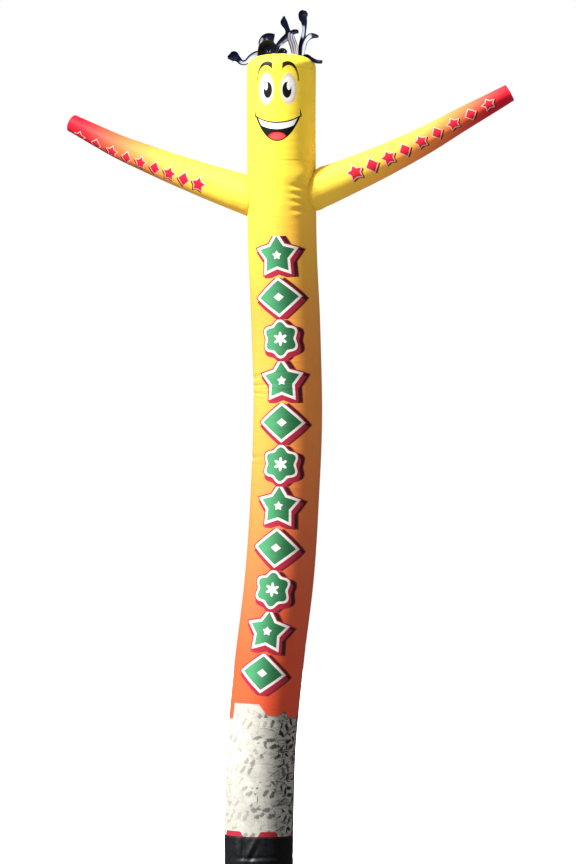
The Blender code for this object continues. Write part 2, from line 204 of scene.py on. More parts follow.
def give_wall(cloth, thick, offset=-1, back=0):
    """Gives the cloth its thickness, inwards at offset -1 and both ways at 0. Back is added to the material
    slot of its other side."""
    wall = cloth.modifiers.new("wall", "SOLIDIFY")
    wall.thickness = thick
    wall.offset = offset
    wall.material_offset = back
    bpy.ops.object.modifier_apply(modifier="wall")
    bpy.ops.object.shade_smooth_by_angle(angle=math.radians(SMOOTH_ANGLE))


def sew_round(cloth, points, thick=CLOTH):
    """Rolls the cloth up to these points, joins its two edges, and gives it its thickness inwards."""
    cloth.data.vertices.foreach_set("co", points.ravel())
    cloth.data.update()
    bpy.ops.object.mode_set(mode="EDIT")
    bpy.ops.mesh.select_all(action="SELECT")
    bpy.ops.mesh.remove_doubles(threshold=0.00005)
    bpy.ops.object.mode_set(mode="OBJECT")
    give_wall(cloth, thick)


def hang(piece, node):
    """Attaches the cloth to the root body and hides the solid that it stands for."""
    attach(piece, "root")
    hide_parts(node)


# The centre line of each sleeve, from inside the tube to its tip: out from the tube's centre line, back along
# +Y, and the height above the ground.
SHOULDER_X = 0.152
SLEEVE_ROOT_RADIUS = 0.129
SLEEVE_TIP_RADIUS = 0.060
ROOT_PULL, ROOT_STITCH = 0.003, 0.027
HOLE_MARGIN, HOLE_DEPTH = 0.006, 0.30
Station = namedtuple("Station", "out back height")
SLEEVES = {
    1: (
        Station(0.050, 0.000, 4.556),
        Station(0.300, 0.012, 4.659),
        Station(0.600, 0.040, 4.788),
        Station(0.897, 0.078, 4.932),
        Station(1.194, 0.122, 5.099),
        Station(1.522, 0.178, 5.284),
    ),
    -1: (
        Station(0.050, 0.000, 4.526),
        Station(0.285, 0.040, 4.617),
        Station(0.575, 0.120, 4.720),
        Station(0.866, 0.210, 4.830),
        Station(1.158, 0.310, 4.951),
        Station(1.494, 0.430, 5.118),
    ),
}


def sleeve_line(side):
    """The stations of a sleeve as points. Side is 1 for the sleeve at +X and -1 for the other."""
    return np.array([(SHOULDER_X + side * s.out, s.back, s.height) for s in SLEEVES[side]])


def root_pucker(points, side):
    """The tube's cloth is drawn in round the hole that a sleeve is sewn to."""
    line = sleeve_line(side)
    along = (line[1] - line[0]) / np.linalg.norm(line[1] - line[0])
    arm = points - line[0]
    across = arm - np.outer(arm @ along, along)
    away = np.linalg.norm(across, axis=1) - SLEEVE_ROOT_RADIUS
    round_it = np.arctan2(across[:, 1], across[:, 2]) * SLEEVE_ROOT_RADIUS
    same_side = side * (points[:, 0] - SHOULDER_X) > 0
    return np.where(same_side, seam_pucker(away, round_it, ROOT_PULL, ROOT_STITCH), 0)


heights = row_heights(
    FOOT_SEAM,
    NECK_SEAM,
    (
        Stretch(FOOT_SEAM, FOOT_SEAM + 0.04, 0.005),
        Stretch(2.76, 2.92, 0.006),
        Stretch(3.22, 3.42, 0.005),
        Stretch(4.43, NECK_SEAM, 0.0055),
    ),
)
tube, turn, height = cut_cloth("long_tube_cloth", TUBE_COLUMNS, heights)
round_tube = turn * GIRTH
lay_pattern(tube, round_tube, height)
lift = crease_lift(TUBE_CREASES, height, turn) + unevenness(height, turn)
lift += seam_pucker(NECK_SEAM - height, round_tube) + seam_pucker(height - FOOT_SEAM, round_tube)
plain = tube_points(height, turn, 0)
lift += root_pucker(plain, 1) + root_pucker(plain, -1)
sew_round(tube, tube_points(height, turn, lift))
hang(tube, "body_tube")

# A round hole in the tube opens into each sleeve.
for side in (1, -1):
    start, follows = sleeve_line(side)[:2]
    along = follows - start
    bpy.ops.object.select_all(action="DESELECT")
    bpy.ops.mesh.primitive_cylinder_add(
        vertices=64,
        radius=SLEEVE_ROOT_RADIUS - HOLE_MARGIN,
        depth=HOLE_DEPTH,
        location=start + along * 0.6,
        rotation=(0, math.atan2(math.hypot(along[0], along[1]), along[2]), math.atan2(along[1], along[0])),
    )
    punch = bpy.context.object
    hole = tube.modifiers.new("hole", "BOOLEAN")
    hole.object = punch
    bpy.context.view_layer.objects.active = tube
    bpy.ops.object.modifier_apply(modifier="hole")
    bpy.data.objects.remove(punch)


class Wire:
    """A value or colour in a material's nodes. Python's operators on it add Math nodes."""

    def __init__(self, tree, socket):
        self.tree = tree
        self.socket = socket

    def node(self, kind, settings=(), inputs=(), out=0, stops=()):
        """A new node: its settings and its ramp's stops first, then what goes into its sockets."""
        made = self.tree.nodes.new("ShaderNode" + kind)
        for setting, value in dict(settings).items():
            setattr(made, setting, value)
        for n, (place, colour) in enumerate(stops):
            elements = made.color_ramp.elements
            stop = elements[n] if n < 2 else elements.new(place)
            stop.position, stop.color = place, colour
        for name, value in dict(inputs).items():
            if isinstance(value, Wire):
                self.tree.links.new(value.socket, made.inputs[name])
            else:
                made.inputs[name].default_value = value
        return Wire(self.tree, made.outputs[out])

    def math(self, operation, *values):
        return self.node("Math", {"operation": operation}, dict(enumerate(values)))

    def __add__(self, other):
        return self.math("ADD", self, other)

    def __sub__(self, other):
        return self.math("SUBTRACT", self, other)

    def __rsub__(self, other):
        return self.math("SUBTRACT", other, self)

    def __mul__(self, other):
        return self.math("MULTIPLY", self, other)

    def __truediv__(self, other):
        return self.math("DIVIDE", self, other)

    def __pow__(self, other):
        return self.math("POWER", self, other)

    def __mod__(self, other):
        return self.math("FLOORED_MODULO", self, other)

    def __abs__(self):
        return self.math("ABSOLUTE", self)

    __radd__ = __add__
    __rmul__ = __mul__

    def least(self, other):
        return self.math("MINIMUM", self, other)

    def most(self, other):
        return self.math("MAXIMUM", self, other)

    def rise(self, low, high):
        """0 below low and 1 above high, with a soft step between them; low may be the higher one."""
        settings = {"interpolation_type": "SMOOTHSTEP"}
        return self.node("MapRange", settings, {"Value": self, "From Min": low, "From Max": high})

    def under(self, colour, mask):
        """This colour with another one laid over it where the mask is 1."""
        return self.node("Mix", {"data_type": "RGBA"}, {0: mask, 6: self, 7: colour}, out=2)

    def between(self, first, second):
        """The first colour where this value is 0, the second where it is 1, and a blend between."""
        return self.node("Mix", {"data_type": "RGBA"}, {0: self, 6: first, 7: second}, out=2)

    def noise(self, scale, detail, **more):
        """Soft noise at this place on the cloth."""
        inputs = {"Vector": self, "Scale": scale, "Detail": detail, **more}
        return self.node("TexNoise", {"noise_dimensions": "2D"}, inputs)


def length_of(x, y):
    """How far the place x, y is from zero."""
    return (x * x + y * y) ** 0.5


# Colours of the print. The tube's ground runs from yellow at the head to red at the foot, and this table
# gives its colour at each height. EDGE is the softness of a printed edge.
GROUND = (
    (0.34, (0.270, 0.009, 0.022, 1)),
    (1.00, (0.510, 0.048, 0.016, 1)),
    (1.50, (0.520, 0.056, 0.018, 1)),
    (1.95, (0.530, 0.082, 0.028, 1)),
    (2.35, (0.560, 0.118, 0.030, 1)),
    (2.65, (0.590, 0.150, 0.032, 1)),
    (3.09, (0.640, 0.200, 0.034, 1)),
    (3.40, (0.650, 0.220, 0.036, 1)),
    (3.65, (0.660, 0.250, 0.038, 1)),
    (3.92, (0.690, 0.300, 0.040, 1)),
    (4.15, (0.730, 0.380, 0.040, 1)),
    (4.40, (0.820, 0.450, 0.042, 1)),
    (4.60, (0.880, 0.560, 0.044, 1)),
    (4.90, (0.940, 0.660, 0.046, 1)),
    (5.50, (0.950, 0.720, 0.050, 1)),
)
GROUND_REACH = 6.0
# Below the chest, painted light makes the ground yellower on the left of the front, where the light falls.
PAINTED_LIGHT_GOLD = (1.0, 1.45, 1.30, 1)
GREEN = (0.050, 0.240, 0.100, 1)
# The darker green is painted shade, for the right side of each motif.
GREEN_IN_PAINTED_SHADE = (0.014, 0.105, 0.038, 1)
WHITE_INK = (0.640, 0.590, 0.550, 1)
CRIMSON = (0.300, 0.010, 0.030, 1)
MAROON = (0.050, 0.003, 0.006, 1)
RIM_RED = (0.180, 0.020, 0.010, 1)
EDGE = 0.0015
STAR_WAIST = 0.58


def ground(across, up):
    """The ground colour at each place across and up the print, with painted light on the left of the front
    below the chest.
    """
    stops = [(height / GROUND_REACH, colour) for height, colour in GROUND]
    colour = up.node("ValToRGB", (), {0: up / GROUND_REACH}, stops=stops)
    # Painted light: yellower on the left of the front, below the chest.
    painted_light = across.rise(0.13, -0.08) * across.rise(-0.66, -0.40) * up.rise(4.0, 3.2)
    settings = {"data_type": "RGBA", "blend_type": "MULTIPLY"}
    return up.node("Mix", settings, {0: painted_light, 6: colour, 7: PAINTED_LIGHT_GOLD}, out=2)


def star(x, y, tip):
    """How far outside a five-pointed star each place is. It is below 0 inside."""
    fifth = 2 * math.pi / 5
    fold = abs((x.math("ARCTAN2", x, y) + fifth / 2) % fifth - fifth / 2)
    size = length_of(x, y)
    inner_x, inner_y = STAR_WAIST * tip * math.cos(fifth / 2), STAR_WAIST * tip * math.sin(fifth / 2)
    edge = math.hypot(tip - inner_x, inner_y)
    across = size * fold.math("COSINE", fold) - tip
    return across * (inner_y / edge) + size * fold.math("SINE", fold) * ((tip - inner_x) / edge)


def diamond(x, y, wide, tall):
    """How far outside a diamond with these half sizes each place is."""
    return (abs(x) / wide + abs(y) / tall - 1) * (wide * tall / math.hypot(wide, tall))


def rosette(x, y, radius):
    """How far outside a rosette of six petals each place is."""
    petals = x.math("COSINE", x.math("ARCTAN2", x, y) * 6)
    return length_of(x, y) - radius - petals * (0.12 * radius)


# A column of stars, diamonds and rosettes up the front: green, with painted shade on the right of each, and a
# white edge, on a crimson block that seems to stand out of the cloth to the right and down.
MOTIF_PITCH = 0.279
MOTIF_TOP = 4.315
MOTIF_COUNT = 11
MOTIF_EDGE = 0.017
STAR_TIP, DIAMOND_WIDE, DIAMOND_TALL, ROSETTE_RADIUS = 0.130, 0.140, 0.114, 0.102
# The block is three copies of the motif, each this far to its right and below it.
BLOCK = ((0.010, 0.028), (0.028, 0.022), (0.045, 0.014))


def motif(x, y, kind):
    """How far outside its motif each place is: kind is 0 for a star, 1 for a diamond and 2 for a rosette."""
    is_star, is_diamond = kind.rise(0.6, 0.4), 1 - abs(kind - 1).rise(0.4, 0.6)
    shapes = star(x, y, STAR_TIP) * is_star + diamond(x, y, DIAMOND_WIDE, DIAMOND_TALL) * is_diamond
    return shapes + rosette(x, y, ROSETTE_RADIUS) * (1 - is_star - is_diamond)


def motif_column(colour, across, up):
    """The column of motifs and their blocks, printed over this colour."""
    cell = (MOTIF_TOP - up) / MOTIF_PITCH
    number = cell.math("FLOOR", cell)
    x, y = across + 0.012, (number + 0.46 - cell) * MOTIF_PITCH
    kind = number % 3
    on_column = cell.rise(0, 0.001) * cell.rise(MOTIF_COUNT + 0.001, MOTIF_COUNT)
    face = motif(x, y, kind)
    low, side, far = (motif(x - right, y + down, kind) for right, down in BLOCK)
    block = face.least(low).least(side).least(far)
    colour = colour.under(RIM_RED, block.rise(MOTIF_EDGE + 0.011, MOTIF_EDGE + 0.005) * on_column)
    colour = colour.under(MAROON, block.rise(MOTIF_EDGE + 0.002, MOTIF_EDGE) * on_column)
    crimson = low.least(face).rise(MOTIF_EDGE + 0.009, MOTIF_EDGE + 0.006)
    crimson = crimson.most(side.rise(MOTIF_EDGE - 0.003, MOTIF_EDGE - 0.010))
    colour = colour.under(CRIMSON, crimson * on_column)
    colour = colour.under(WHITE_INK, face.rise(MOTIF_EDGE, MOTIF_EDGE - EDGE) * on_column)
    # Painted shade: each motif's green darkens toward its right side.
    green = x.rise(-0.09, 0.09).between(GREEN, GREEN_IN_PAINTED_SHADE)
    colour = colour.under(green, face.rise(0, -EDGE) * on_column)
    middle = face + 0.066 - kind.rise(0.6, 0.4) * 0.014
    return colour.under(WHITE_INK, middle.rise(0, -EDGE) * on_column)


# Pale paper slips are printed in a heap round the foot. They lie at all angles, each with a thin frame line
# and a pair of dark leaves, and each casts a painted shadow on those below. The heap's top edge is torn, and
# the red ground shows through at its foot. Painted shade darkens the heap to the right of the front and round
# the back.
SLIP_LONG, SLIP_TALL, SLIP_ROOM, SLIP_PUSH = 0.150, 0.066, 0.160, 0.05
SLIP_FRAME, SLIP_CURVE = 0.009, 3.2
SLIP_PALE = (0.470, 0.452, 0.390, 1)
SLIP_DULL = (0.370, 0.356, 0.312, 1)
SLIP_MARK = (0.016, 0.014, 0.017, 1)
# The line colour also serves for the painted shadows in the heap.
SLIP_LINE_AND_SHADOW = (0.070, 0.064, 0.064, 1)
SLIP_LAYERS = (0.11, 0.53, 0.29, 0.83, 0.07, 0.61, 0.37, 0.97, 0.71)
# Places round the tube and heights of the heap's top edge.
HEAP_TOP = (
    (-0.726, 1.100),
    (-0.660, 1.160),
    (-0.580, 1.090),
    (-0.500, 1.142),
    (-0.420, 1.080),
    (-0.350, 1.110),
    (-0.302, 1.066),
    (-0.219, 1.072),
    (-0.216, 1.176),
    (-0.010, 1.187),
    (0.050, 1.119),
    (0.112, 1.118),
    (0.179, 1.156),
    (0.203, 1.115),
    (0.307, 1.110),
    (0.370, 1.165),
    (0.440, 1.090),
    (0.530, 1.150),
    (0.610, 1.120),
    (0.680, 1.172),
    (0.726, 1.100),
)
FOOT_GAPS = ((-0.62, -0.45), (-0.27, -0.107), (0.015, 0.140), (0.286, 0.390), (0.54, 0.66))


def slip_layer(colour, across, up, shift, shade, smudge):
    """One slip in each square of the cloth, at an angle and a place in the square of its own, with a painted
    shadow down and to its right on what lies below.
    """
    # Marks are weaker on the left of the front, as painted light, and weaker again near the back seam.
    mark_ramp = across.rise(-0.17, 0.07) * across.rise(0.68, 0.40)
    column, row = across / SLIP_ROOM + shift * 7, up / SLIP_ROOM + shift * 11
    i, j = column.math("FLOOR", column), row.math("FLOOR", row)
    cell = colour.node("CombineXYZ", (), {0: i, 1: j, 2: shift})
    luck = colour.node("TexWhiteNoise", {"noise_dimensions": "3D"}, {"Vector": cell}, out="Color")
    spin, push_x, push_y = (colour.node("SeparateColor", (), {0: luck}, out=n) for n in range(3))
    x = (column - i - 0.5) * SLIP_ROOM - (push_x - 0.5) * SLIP_PUSH
    y = (row - j - 0.5) * SLIP_ROOM - (push_y - 0.5) * SLIP_PUSH
    angle = (spin - 0.5) * 2.6 - 0.3
    cosine, sine = angle.math("COSINE", angle), angle.math("SINE", angle)

    def slip(x, y):
        along = x * cosine + y * sine
        beside = y * cosine - x * sine + along * along * SLIP_CURVE
        return along, beside, (abs(along) - SLIP_LONG / 2).most(abs(beside) - SLIP_TALL / 2)

    along, beside, inset = slip(x, y)
    # A painted shadow of the slip, down and to its right, darker in the heap's painted shade.
    shadow = slip(x - 0.006, y + 0.009)[2]
    colour = colour.under(SLIP_LINE_AND_SHADOW, shadow.rise(0.005, -0.004) * (shade * 0.74 + 0.16))
    paper = ((spin * 37) % 1).between(SLIP_PALE, SLIP_DULL)
    # The frame line is print, drawn darker in the heap's painted shade.
    paper = paper.under(SLIP_LINE_AND_SHADOW, abs(inset + SLIP_FRAME).rise(0.0036, 0.0016) * (shade * 0.26 + 0.08))
    wide = push_y * 0.008 + 0.011
    leaves = length_of((abs(along + 0.012) - 0.024) / wide, (beside - along * 0.25) / 0.034) + smudge
    # The leaves are print, but painted stronger in the heap's painted shade and weaker in the painted light
    # on the left.
    printed = (push_x + shade * 0.4).rise(0.20, 0.65) * (mark_ramp * 0.40 + shade * 0.32 + 0.28)
    paper = paper.under(SLIP_MARK, leaves.rise(1.15, 0.6) * printed)
    return colour.under(paper, inset.rise(EDGE, 0))


def slip_heap(ground_colour, across, up):
    """The whole heap. It is left bright to the left of the front, has painted shade to the right of it and
    less round the back, and is darker toward the foot.
    """
    # Painted shade: none left of the front, full to the right of it, and less round the back.
    lean = across + (up - 0.7) * 0.12
    shade = lean.rise(0.02, 0.23) * (1 - lean.rise(0.35, 0.65) * 0.7) + across.rise(-0.40, -0.72) * 0.3
    cloth = up.node("CombineXYZ", (), {0: across, 1: up})
    smudge = (cloth.noise(55, 2) - 0.5) * 1.2
    heap = ground_colour.node("Mix", {"data_type": "RGBA"}, {0: 0.5, 6: SLIP_PALE, 7: SLIP_DULL}, out=2)
    for shift in SLIP_LAYERS:
        heap = slip_layer(heap, across, up, shift, shade, smudge)
    # Long thin printed strokes, drawn darker in the painted shade.
    strokes = up.node("CombineXYZ", (), {0: across * 5, 1: up * 26}).noise(1, 3, Distortion=0.5)
    heap = heap.under(SLIP_LINE_AND_SHADOW, abs(strokes - 0.5).rise(0.045, 0.010) * (shade * 0.55 + 0.10))
    # Painted shade darkens the heap to the right of the front; it is also darker toward the foot.
    tone = (1 - shade * 0.36) * (up.rise(0.25, 1.0) * 0.16 + 0.86)
    heap = heap.node("HueSaturation", (), {"Color": heap, "Value": tone})
    stops = [(place / GIRTH + 0.5, (height - 1, height - 1, height - 1, 1)) for place, height in HEAP_TOP]
    top = up.node("ValToRGB", (), {0: across / GIRTH + 0.5}, stops=stops) + 1
    # A band of painted shade just under the torn top edge, darker to the right.
    heap = heap.under(SLIP_LINE_AND_SHADOW, (up - top).rise(-0.008, -0.002) * (shade * 0.6 + 0.2))
    gap = across * 0
    for start, stop in FOOT_GAPS:
        gap = gap + across.rise(start, start + 0.03) * across.rise(stop + 0.03, stop)
    shown = (up - top).rise(EDGE, 0) * (1 - (up + gap * -0.034).rise(0.3045, 0.3025))
    return ground_colour.under(heap, shown)


# The cloth itself: a satin coated weave with a square grid of thicker threads every 5 mm.
RIPSTOP_GRID = 0.005


def new_cloth(name):
    """A material, with its place on the print as one vector, and as two values across and up."""
    material = bpy.data.materials.new(name)
    material.use_nodes = True
    tree = material.node_tree
    pattern = Wire(tree, tree.nodes.new("ShaderNodeUVMap").outputs[0])
    pattern.socket.node.uv_map = "print"
    across, up = (pattern.node("SeparateXYZ", (), {0: pattern}, out=n) for n in range(2))
    return material, pattern, across, up


def dress(material, colour, rough, relief, strength, specular):
    """Joins the colour, the roughness and the relief, in metres, to the material's shader."""
    tree = material.node_tree
    shader = tree.nodes["Principled BSDF"]
    bump = relief.node("Bump", (), {"Height": relief, "Distance": 1.0, "Strength": strength})
    tree.links.new(colour.socket, shader.inputs["Base Color"])
    tree.links.new(rough.socket, shader.inputs["Roughness"])
    tree.links.new(bump.socket, shader.inputs["Normal"])
    shader.inputs["Specular IOR Level"].default_value = specular
    return material


def ripstop(name, paint, specular):
    """A material of printed ripstop. Paint gives its colour from the places across and up the print."""
    material, pattern, across, up = new_cloth(name)
    threads = abs((across / RIPSTOP_GRID) % 1 - 0.5).most(abs((up / RIPSTOP_GRID) % 1 - 0.5)).rise(0.40, 0.5)
    dust = pattern.noise(5, 4)
    weave = pattern.noise(900, 1)
    slack = pattern.node("CombineXYZ", (), {0: across * 5, 1: up * 34}).noise(1, 3)
    tone = 1.02 - threads * 0.06 - dust.rise(0.45, 0.8) * 0.06
    colour = pattern.node("HueSaturation", (), {"Color": paint(across, up), "Value": tone})
    rough = threads * 0.05 + dust * 0.12 + 0.49
    relief = threads * 0.00016 + weave * 0.00008 + slack * 0.0016
    return dress(material, colour, rough, relief, 0.9, specular)


SEAM_THREAD = (0.450, 0.260, 0.030, 1)
STITCH = 0.0045


def dashes(across):
    """1 where the thread of a row of stitches lies on the cloth, and 0 where it goes through."""
    return ((across / STITCH) % 1).rise(0.62, 0.55)


def stitches(colour, across, up, seam, apart, strength=0.6):
    """Two rows of stitches beside a seam, with thread a little darker than the cloth."""
    row = abs(abs(up - seam) - apart)
    return colour.under(SEAM_THREAD, row.rise(0.0013, 0.0007) * dashes(across) * strength)


def tube_print(across, up):
    """The motifs and the heap of slips on the ground colour, and the stitches at both seams."""
    colour = motif_column(ground(across, up), across, up)
    colour = slip_heap(colour, across, up)
    colour = stitches(colour, across, up, NECK_SEAM, 0.006)
    return stitches(colour, across, up, FOOT_SEAM, 0.006, 0.15)


tube.data.materials.append(ripstop("printed tube cloth", tube_print, 0.22))

# The head is a shorter length of the same cloth, sewn to the tube at the neck with two rows of stitches. Its
# front carries a printed smiling face, whose brows run on over the seam of the crown.
CROWN_SEAM = 5.442
SEAM_GAP = 0.0003
heights = row_heights(
    NECK_SEAM + SEAM_GAP,
    CROWN_SEAM,
    (
        Stretch(NECK_SEAM + SEAM_GAP, NECK_SEAM + 0.05, 0.005),
        Stretch(NECK_SEAM + 0.05, CROWN_SEAM - 0.05, 0.014),
        Stretch(CROWN_SEAM - 0.05, CROWN_SEAM, 0.005),
    ),
)
head, turn, height = cut_cloth("head_cloth", TUBE_COLUMNS, heights)
round_tube = turn * GIRTH
lay_pattern(head, round_tube, height)
lift = crease_lift(TUBE_CREASES, height, turn) + unevenness(height, turn)
lift += seam_pucker(height - NECK_SEAM, round_tube) + seam_pucker(CROWN_SEAM - height, round_tube, 0.0004)
sew_round(head, tube_points(height, turn, lift))
hang(head, "head_tube")

INK = (0.0030, 0.0022, 0.0018, 1)
BROW_INK = (0.0130, 0.0070, 0.0025, 1)
EYE_WHITE = (0.700, 0.690, 0.680, 1)
EYE_RIM = (0.620, 0.470, 0.390, 1)
TOOTH = (0.780, 0.760, 0.720, 1)
TONGUE = (0.800, 0.060, 0.060, 1)
TONGUE_RIM = (0.620, 0.020, 0.020, 1)
Oval = namedtuple("Oval", "across up wide tall")
EYE = Oval(0.077, 5.298, 0.053, 0.098)
PUPIL = Oval(0.066, 5.290, 0.031, 0.054)
GLINT = Oval(0.079, 5.318, 0.014, 0.029)
BROW = Oval(0.075, 5.354, 0.073, 0.115)
TONGUE_SHAPE = Oval(0, 4.977, 0.062, 0.031)
BROW_START, BROW_HALF, BROW_THINS = 0.035, 0.0125, 0.062
MOUTH_FOOT, MOUTH_LIP, TEETH_LIP = 4.953, 5.072, 5.027
MOUTH_BEND, LIP_BEND, TEETH_BEND = 6.45, 1.76, 2.1


def share_out(x, y, oval):
    """How far out from the middle of an oval each place is: 1 on its rim, and less inside it."""
    return length_of((x - oval.across) / oval.wide, (y - oval.up) / oval.tall)


def face_print(across, up):
    """The eyes, the brows and the open mouth, the same on both sides of the front."""
    side = abs(across)
    colour = ground(across, up)
    eye = share_out(side, up, EYE)
    colour = colour.under(EYE_RIM, eye.rise(1.18, 0.98) * 0.9)
    colour = colour.under(EYE_WHITE, eye.rise(1.00, 0.68))
    colour = colour.under(INK, share_out(side, up, PUPIL).rise(1.03, 0.97))
    colour = colour.under(EYE_WHITE, share_out(side, up, GLINT).rise(1.06, 0.94))
    brow = abs(share_out(side, up, BROW) - 1) * 0.085
    brow_half = BROW_HALF - (side - BROW_START) * BROW_THINS
    on_brow = (brow - brow_half).rise(EDGE, 0) * side.rise(0.032, 0.036) * up.rise(5.346, 5.356)
    colour = colour.under(BROW_INK, on_brow * (side.rise(0.155, 0.110) * 0.25 + 0.75))
    below = (across * across * MOUTH_BEND + MOUTH_FOOT - up) / (1 + side * side * 120) ** 0.5
    above = up - (across * across * LIP_BEND + MOUTH_LIP)
    mouth = below.most(above)
    colour = colour.under(INK, mouth.rise(0.006, 0.004) * side.rise(0.172, 0.166))
    teeth = (up - (across * across * TEETH_BEND + TEETH_LIP)).rise(0, EDGE)
    teeth = teeth * above.rise(-0.003, -0.005) * below.rise(-0.011, -0.013)
    colour = colour.under(TOOTH, teeth)
    tongue = share_out(across, up, TONGUE_SHAPE)
    in_mouth = below.rise(-0.002, -0.005)
    colour = colour.under(TONGUE_RIM, tongue.rise(1.02, 0.96) * in_mouth)
    colour = colour.under(TONGUE, tongue.rise(0.92, 0.6) * in_mouth)
    tick = abs(side - 0.165 + (up - 5.136) * 0.17)
    tick_half = 0.0055 - abs(up - 5.128) * 0.13
    colour = colour.under(INK, (tick - tick_half).rise(EDGE, 0) * up.rise(5.108, 5.116))
    colour = stitches(colour, across, up, NECK_SEAM, 0.006)
    return stitches(colour, across, up, CROWN_SEAM, 0.005, 0.15)


face_cloth = ripstop("printed head cloth", face_print, 0.20)
head.data.materials.append(face_cloth)

# The crown is a round panel of the head's printed cloth, sewn into the top of the head. The air domes it, the
# seam gathers its rim, and the tuft is sewn to it.
CROWN_SKIRT = 0.006
CROWN_RISE = 0.096
CROWN_SQUARENESS = 2.6
CROWN_ROWS = 44
SKIRT_SHARE = 0.03
share = np.linspace(0, 1, CROWN_ROWS + 1)
crown, turn, share = cut_cloth("crown_cloth", TUBE_COLUMNS, share)


def crown_profile(share):
    """Radius and height of the dome from its skirt, at 0, to its top, at 1."""
    angle = np.pi / 2 * np.clip((share - SKIRT_SHARE) / (1 - SKIRT_SHARE), 0, 1)
    power = 2 / CROWN_SQUARENESS
    skirt = CROWN_SKIRT * np.clip(share / SKIRT_SHARE, 0, 1)
    radius = TUBE_RADIUS * np.clip(np.cos(angle), 0, 1) ** power
    radius = np.where(share > 0.9999, 0, radius)
    return radius, CROWN_SEAM + SEAM_GAP + skirt + CROWN_RISE * np.sin(angle) ** power


fine = np.linspace(0, 1, 400)
fine_radius, fine_height = crown_profile(fine)
steps = np.hypot(np.diff(fine_radius), np.diff(fine_height))
crown_arc = np.concatenate([[0], np.cumsum(steps)])
arc = np.interp(share, fine, crown_arc)
lay_pattern(crown, turn * GIRTH, CROWN_SEAM + arc)
radius, height = crown_profile(share)
gather = seam_pucker(arc, turn * GIRTH, 0.0004, 0.026)
gather += 0.0007 * np.sin(46 * np.pi * turn + 2 * np.sin(6 * np.pi * turn)) * np.exp(-arc / 0.045)
radius = np.maximum(radius + gather * (radius > 0), 0)
points = np.stack(
    [SHOULDER_X + radius * np.sin(2 * np.pi * turn), -radius * np.cos(2 * np.pi * turn), height], axis=1
)
sew_round(crown, points)
hang(crown, "crown")
crown.data.materials.append(face_cloth)

# The cuff at the foot is a band of black coated cloth that goes round the fan's outlet. It is stiffer and
# glossier than the rest, hangs in a pleat and slack creases, and has a wide hem on the ground.
CUFF_CREASES = (
    Crease(0.225, -32, 0.075, 7, 0.0000, 0.0070),
    Crease(0.225, -20, 0.080, 4, 0.0000, -0.0100),
    Crease(0.208, -8, 0.030, 10, 0.0062, 0.0080),
    Crease(0.180, -2, 0.026, 9, 0.0062, -0.0040),
    Crease(0.162, 2, 0.012, 36, 0.0001, -0.0050),
    Crease(0.137, 4, 0.013, 34, 0.0001, 0.0045),
    Crease(0.090, -14, 0.030, 14, -0.0012, -0.0050),
    Crease(0.230, 62, 0.040, 7, 0.0000, -0.0030),
    Crease(0.150, 128, 0.016, 34, -0.0003, -0.0050),
    Crease(0.205, 160, 0.060, 9, 0.0010, -0.0050),
    Crease(0.160, -125, 0.015, 30, 0.0003, -0.0050),
)
CUFF_HEM = 0.030
CUFF_COLUMNS = 240
CUFF_CLOTH = 0.0012
cuff_top = FOOT_SEAM - SEAM_GAP
heights = row_heights(0.0, cuff_top, (Stretch(0.0, cuff_top, 0.0055),))
cuff, turn, height = cut_cloth("cuff_cloth", CUFF_COLUMNS, heights)
round_tube = turn * GIRTH
lay_pattern(cuff, round_tube, height)
free = np.clip((height - CUFF_HEM) / 0.03, 0, 1)
lift = (crease_lift(CUFF_CREASES, height, turn) + unevenness(height, turn)) * free
lift += seam_pucker(cuff_top - height, round_tube)
lift += seam_pucker(height - CUFF_HEM, round_tube, 0.0015, 0.03) * free
sew_round(cuff, tube_points(height, turn, lift), CUFF_CLOTH)
hang(cuff, "cuff")

THREAD_PITCH = 0.0016
CUFF_DULL = (0.0014, 0.0016, 0.0026, 1)
CUFF_WORN = (0.0044, 0.0046, 0.0060, 1)
CUFF_THREAD = (0.030, 0.031, 0.034, 1)
black, pattern, across, up = new_cloth("black coated cloth")
weave = abs((across / THREAD_PITCH) % 1 - 0.5) + abs((up / THREAD_PITCH) % 1 - 0.5)
crumple = pattern.noise(10, 2)
scuff = pattern.noise(46, 4)
colour = pattern.node("ValToRGB", (), {0: scuff}, stops=[(0.3, CUFF_DULL), (0.8, CUFF_WORN)])
for seam in (CUFF_HEM - 0.004, cuff_top - 0.008):
    colour = colour.under(CUFF_THREAD, abs(up - seam).rise(0.0014, 0.0008) * dashes(across))
relief = weave * 0.00010 + crumple * 0.006
cuff.data.materials.append(dress(black, colour, scuff * 0.16 + 0.42, relief, 0.8, 0.36))

# The two sleeves are tapered tubes of the same ripstop, sewn round the holes in the tube and open at their
# hemmed tips, where the air that holds them out blows away. Their print fades from yellow to red.
SLEEVE_COLUMNS = 84
SLEEVE_ROWS = 150
SLEEVE_HEM = 0.020
# The print's zero lies PRINT_START along the centre line. The radius narrows by SLEEVE_TAPER a metre.
PRINT_START = 0.28
SLEEVE_TAPER = 0.052
# The air swells each sleeve a little just past its seam.
ROOT_SWELL = {1: 0.0045, -1: 0.0015}


def on_curve(points, place):
    """The points and directions at these places, 0 to 1, on a smooth curve through the points."""
    ends = np.vstack([2 * points[0] - points[1], points, 2 * points[-1] - points[-2]])
    spot = place * (len(points) - 1)
    first = np.clip(spot.astype(int), 0, len(points) - 2)
    a, b = ends[first + 1], ends[first + 2]
    return smooth_run((spot - first)[:, None], a, (b - ends[first]) / 2, b, (ends[first + 3] - a) / 2)


